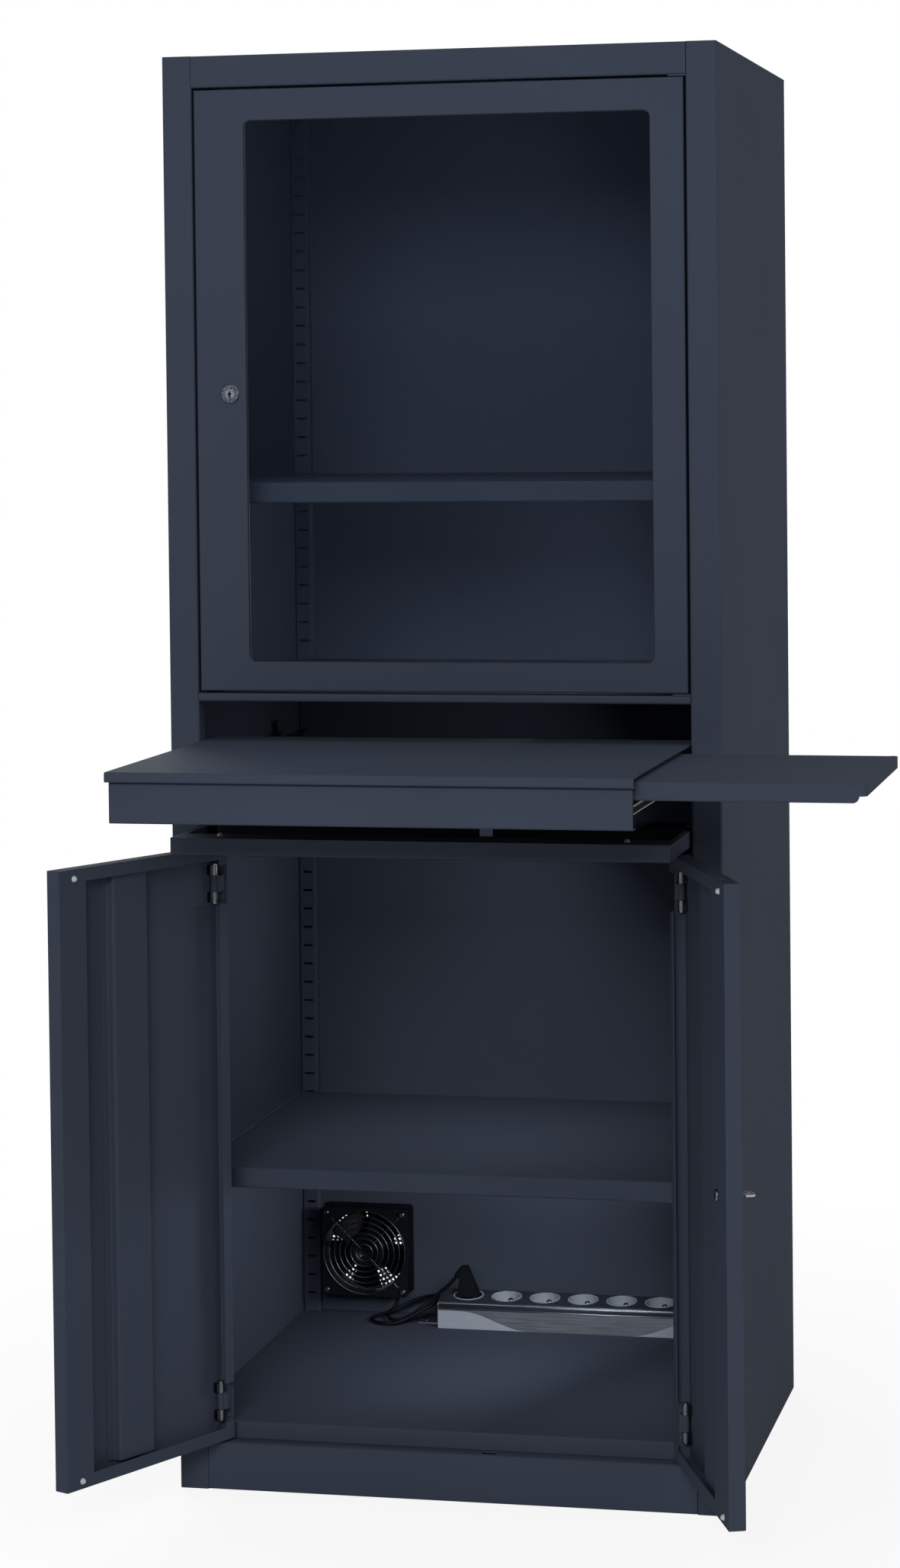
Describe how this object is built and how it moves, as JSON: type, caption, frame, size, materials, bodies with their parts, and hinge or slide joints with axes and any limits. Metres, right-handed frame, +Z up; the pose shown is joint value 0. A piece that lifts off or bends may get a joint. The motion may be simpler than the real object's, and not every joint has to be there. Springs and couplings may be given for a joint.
{
  "type": "computer armoire",
  "caption": "Free-standing sheet-steel computer cabinet with a window door, a pull-out keyboard drawer with side tray and flap, and a lower compartment with fan and socket strip.",
  "frame": {"origin": "centre of the footprint of the carcass, on the floor", "axes": "+Z up, +Y from the front to the back, +X to the right as one stands in front of it"},
  "size_m": [0.9564, 0.983, 1.73],
  "materials": {
    "powder_coat": "dark blue-grey powder coat with a fine texture",
    "zinc": "bright zinc plate",
    "slide_steel": "dark oiled steel",
    "seal_rubber": "matt black rubber",
    "pane": "clear pane",
    "lock_metal": "nickel-plated die casting",
    "key_metal": "nickel-plated key",
    "fan_black": "black painted die casting",
    "fan_plastic": "black moulded plastic",
    "guard_wire": "bright plated wire",
    "strip_aluminium": "satin anodised extrusion",
    "strip_plastic": "light grey moulded plastic",
    "cover_plastic": "dark grey moulded plastic",
    "bumper_plastic": "pale moulded plastic",
    "lead_rubber": "black sheath"
  },
  "bodies": {
    "carcass": {"side_panel_left": "powder_coat", "side_panel_right": "powder_coat", "top_panel": "powder_coat", "back_panel": "powder_coat", "upper_floor": "powder_coat", "divider": "powder_coat", "floor_panel": "powder_coat", "upper_uprights": "powder_coat", "lower_uprights": "powder_coat", "upper_shelf": "powder_coat", "lower_shelf": "powder_coat", "shelf_clips": "zinc", "upper_door_pivots": "powder_coat", "hinge_leaves": "powder_coat", "hinge_pins": "zinc", "flap_brackets": "powder_coat", "slide_outer": "slide_steel", "slide_brackets": "slide_steel", "fan_housing": "fan_black", "fan_guard": "guard_wire", "fan_screws": "guard_wire", "strip_body": "strip_aluminium", "strip_caps": "strip_plastic", "strip_sockets": "strip_plastic", "strip_cover": "cover_plastic", "strip_feet": "strip_aluminium", "fan_plug": "lead_rubber", "fan_lead": "lead_rubber"},
    "rotor": {"fan_rotor": "fan_plastic"},
    "upper_door": {"upper_door_panel": "powder_coat", "window_seal": "seal_rubber", "window_pane": "pane", "window_retainer": "zinc", "upper_lock_barrel": "lock_metal"},
    "upper_lock": {"upper_lock_plug": "lock_metal", "upper_lock_cam": "zinc"},
    "left_door": {"left_door_panel": "powder_coat", "left_door_stiffener": "powder_coat", "left_door_knuckles": "zinc", "left_door_bumpers": "bumper_plastic"},
    "right_door": {"right_door_panel": "powder_coat", "right_door_stiffener": "powder_coat", "right_door_knuckles": "zinc", "right_door_bumpers": "bumper_plastic", "right_lock_body": "lock_metal"},
    "right_lock": {"right_lock_plug": "lock_metal", "right_lock_key": "key_metal", "right_lock_crank": "zinc"},
    "upper_rod": {"upper_locking_rod": "zinc"},
    "lower_rod": {"lower_locking_rod": "zinc"},
    "flap": {"flap_panel": "powder_coat", "flap_bumpers": "bumper_plastic"},
    "drawer": {"drawer_top": "powder_coat", "drawer_front": "powder_coat", "drawer_runner_left": "powder_coat", "drawer_runner_right": "powder_coat", "slide_inner": "slide_steel", "tray_guides": "slide_steel"},
    "middle_slides": {"slide_middle": "slide_steel"},
    "tray": {"mouse_tray": "powder_coat"}
  },
  "joints": [
    {"name": "upper_door_hinge", "type": "hinge", "parent": "carcass", "child": "upper_door", "pos_m": [0.285, -0.292, 1.33], "axis": [0, 0, 1], "range_deg": [0, 110]},
    {"name": "upper_lock_turn", "type": "hinge", "parent": "upper_door", "child": "upper_lock", "pos_m": [-0.255, -0.3, 1.326], "axis": [0, 1, 0], "range_deg": [0, 90]},
    {"name": "left_door_hinge", "type": "hinge", "parent": "carcass", "child": "left_door", "pos_m": [-0.285, -0.292, 0.417], "axis": [0, 0, -1], "range_deg": [-115, 0]},
    {"name": "right_door_hinge", "type": "hinge", "parent": "carcass", "child": "right_door", "pos_m": [0.285, -0.292, 0.417], "axis": [0, 0, 1], "range_deg": [-111, 4]},
    {"name": "right_lock_turn", "type": "hinge", "parent": "right_door", "child": "right_lock", "pos_m": [0.37794, -0.51179, 0.427], "axis": [0.9336, 0.3584, 0], "range_deg": [0, 90]},
    {"name": "upper_rod_slide", "type": "slide", "parent": "right_door", "child": "upper_rod", "axis": [0, 0, 1], "range_m": [0, 0.012]},
    {"name": "lower_rod_slide", "type": "slide", "parent": "right_door", "child": "lower_rod", "axis": [0, 0, -1], "range_m": [0, 0.012]},
    {"name": "flap_hinge", "type": "hinge", "parent": "carcass", "child": "flap", "pos_m": [0, -0.285, 0.803], "axis": [1, 0, 0], "range_deg": [-17, 0]},
    {"name": "drawer_slide", "type": "slide", "parent": "carcass", "child": "drawer", "axis": [0, -1, 0], "range_m": [-0.034, 0]},
    {"name": "middle_slide", "type": "slide", "parent": "carcass", "child": "middle_slides", "axis": [0, -1, 0], "range_m": [-0.017, 0]},
    {"name": "mouse_tray_slide", "type": "slide", "parent": "drawer", "child": "tray", "axis": [1, 0, 0], "range_m": [-0.248, 0]},
    {"name": "fan_spin", "type": "hinge", "parent": "carcass", "child": "rotor", "pos_m": [-0.241, 0.278, 0.167], "axis": [0, 1, 0], "continuous": true}
  ],
  "couplings": [
    {"joint": "right_lock_turn", "follows": "upper_rod_slide", "rad_per_m": 130.75},
    {"joint": "lower_rod_slide", "follows": "upper_rod_slide", "ratio": 1},
    {"joint": "middle_slide", "follows": "drawer_slide", "ratio": 0.5}
  ]
}
